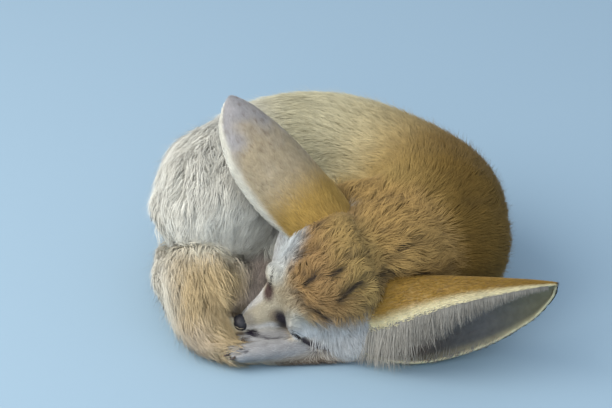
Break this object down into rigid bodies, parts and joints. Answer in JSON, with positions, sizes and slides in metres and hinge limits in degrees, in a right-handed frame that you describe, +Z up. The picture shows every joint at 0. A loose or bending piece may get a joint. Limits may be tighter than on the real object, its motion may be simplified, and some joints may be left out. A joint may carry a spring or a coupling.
{
  "type": "fennec fox",
  "caption": "Fennec fox curled up asleep on its side, chin on its forepaws, one large ear raised and one laid along the floor, tail wrapped round the front.",
  "frame": {"origin": "middle of the whole box, on the floor that the fox lies on", "axes": "+Z up from the floor; the nose points to -X and the camera of the picture looks along +Y"},
  "size_m": [0.24, 0.2168, 0.1361],
  "materials": {
    "nose_leather": "fine pebbled dark leather of the nose, slightly moist",
    "eyelid_skin": "closed lids with very short brown fur",
    "crown_coat": "dense golden fawn fur with fine dark tips",
    "ear_skin": "thin ear leather, sand-coloured short fur on the back, bare pinkish grey inside",
    "shoulder_coat": "long soft fawn fur, darkest along the flank",
    "back_coat": "long soft cream fur",
    "haunch_coat": "long soft whitish fur",
    "paw_coat": "short whitish fur",
    "tail_coat": "long bushy tan fur with a dark brown tip"
  },
  "bodies": {
    "root": {"nose_pad": "nose_leather", "eyelids_left": "eyelid_skin", "eyelids_right": "eyelid_skin", "head": "crown_coat", "ear_left": "ear_skin", "ear_right": "ear_skin", "neck": "crown_coat", "torso_shoulders": "shoulder_coat", "torso_ribs": "back_coat", "torso_loin": "back_coat", "torso_rump": "haunch_coat", "hind_leg_right": "haunch_coat", "hind_leg_left": "haunch_coat", "hind_paw_right": "paw_coat", "hind_paw_left": "paw_coat", "foreleg_left": "paw_coat", "foreleg_right": "paw_coat", "forepaw_left": "paw_coat", "forepaw_right": "paw_coat", "tail_base": "tail_coat", "tail_middle": "tail_coat", "tail_tip": "tail_coat"}
  },
  "joints": []
}
